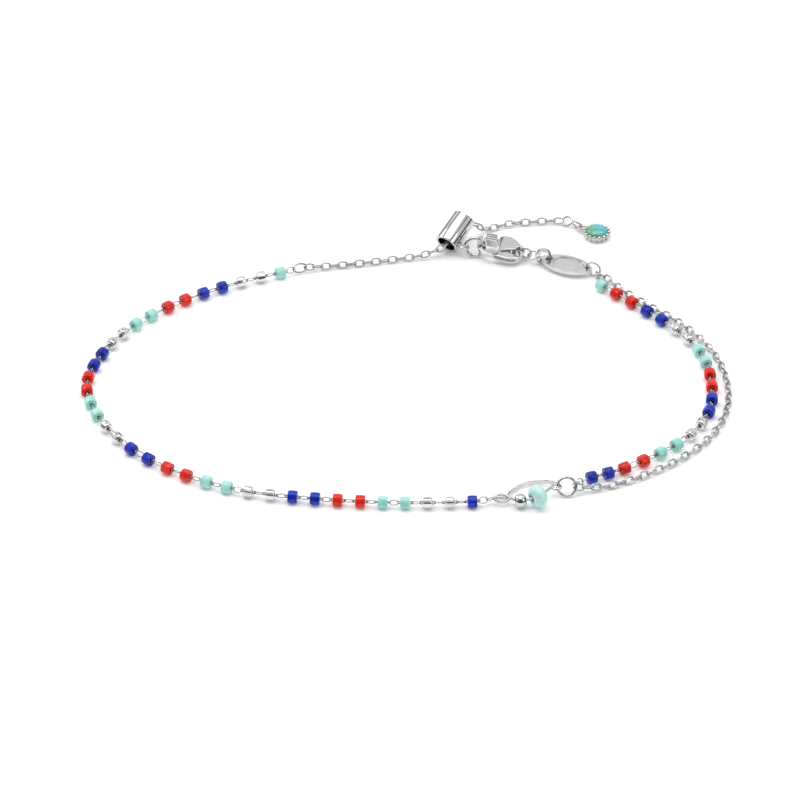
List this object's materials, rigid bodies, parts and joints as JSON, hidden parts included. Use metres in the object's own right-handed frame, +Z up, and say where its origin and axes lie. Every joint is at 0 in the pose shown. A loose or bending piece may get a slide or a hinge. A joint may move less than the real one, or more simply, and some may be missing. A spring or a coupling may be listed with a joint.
{
  "type": "beaded anklet",
  "caption": "Closed anklet of small glass beads on fine links, with a plain side chain, a half-moon centre piece, lobster clasp, tag plate, sliding barrel and tail charm.",
  "frame": {"origin": "middle of the footprint, on the surface the anklet lies on", "axes": "+X to the right and +Y away from the viewer of the picture, +Z up"},
  "size_m": [0.0866, 0.0672, 0.005],
  "materials": {
    "silver": "polished silver-coloured metal",
    "silver_bead": "polished silver-coloured beads",
    "blue_glass": "opaque cobalt glass",
    "red_glass": "opaque orange-red glass",
    "turquoise_glass": "opaque pale turquoise glass",
    "turquoise_stone": "polished faceted stone",
    "cabochon": "domed teal stone, polished"
  },
  "bodies": {
    "anklet": {"long_strand_turquoise_1": "turquoise_glass", "long_strand_silver_1": "silver_bead", "long_strand_blue_1": "blue_glass", "long_strand_red_1": "red_glass", "long_strand_turquoise_2": "turquoise_glass", "long_strand_silver_2": "silver_bead", "long_strand_blue_2": "blue_glass", "long_strand_red_2": "red_glass", "long_strand_turquoise_3": "turquoise_glass", "long_strand_silver_3": "silver_bead", "long_strand_blue_3": "blue_glass", "long_strand_red_3": "red_glass", "long_strand_turquoise_4": "turquoise_glass", "long_strand_silver_4": "silver_bead", "long_strand_blue_4": "blue_glass", "long_strand_red_4": "red_glass", "long_strand_turquoise_5": "turquoise_glass", "long_strand_silver_5": "silver_bead", "long_strand_blue_5": "blue_glass", "short_strand_blue_1": "blue_glass", "short_strand_red_1": "red_glass", "short_strand_turquoise_1": "turquoise_glass", "short_strand_silver_1": "silver_bead", "short_strand_blue_2": "blue_glass", "short_strand_red_2": "red_glass", "short_strand_turquoise_2": "turquoise_glass", "short_strand_silver_2": "silver_bead", "short_strand_blue_3": "blue_glass", "short_strand_red_3": "red_glass", "short_strand_turquoise_3": "turquoise_glass", "end_link_back": "silver", "end_link_front": "silver", "connector_link": "silver", "plain_chain": "silver", "adjuster_chain": "silver", "centre_ring": "silver", "centre_frame": "silver", "silver_ball": "silver", "slider_barrel": "silver", "slider_ring": "silver", "clasp_body": "silver", "clasp_ring": "silver", "bail_ring": "silver", "tag_band": "silver", "tag_plate": "silver", "tag_ring": "silver", "tail_ring": "silver", "charm_setting": "silver", "charm_ring": "silver", "turquoise_stone": "turquoise_stone", "charm_stone": "cabochon"},
    "lever": {"clasp_lever": "silver"}
  },
  "joints": [
    {"name": "clasp_lever_hinge", "type": "hinge", "parent": "anklet", "child": "lever", "pos_m": [0.01453, 0.02546, 0.00151], "axis": [0.0426, -0.189, 0.9811], "range_deg": [0, 10], "stiffness_Nm_per_rad": 0.0001}
  ]
}
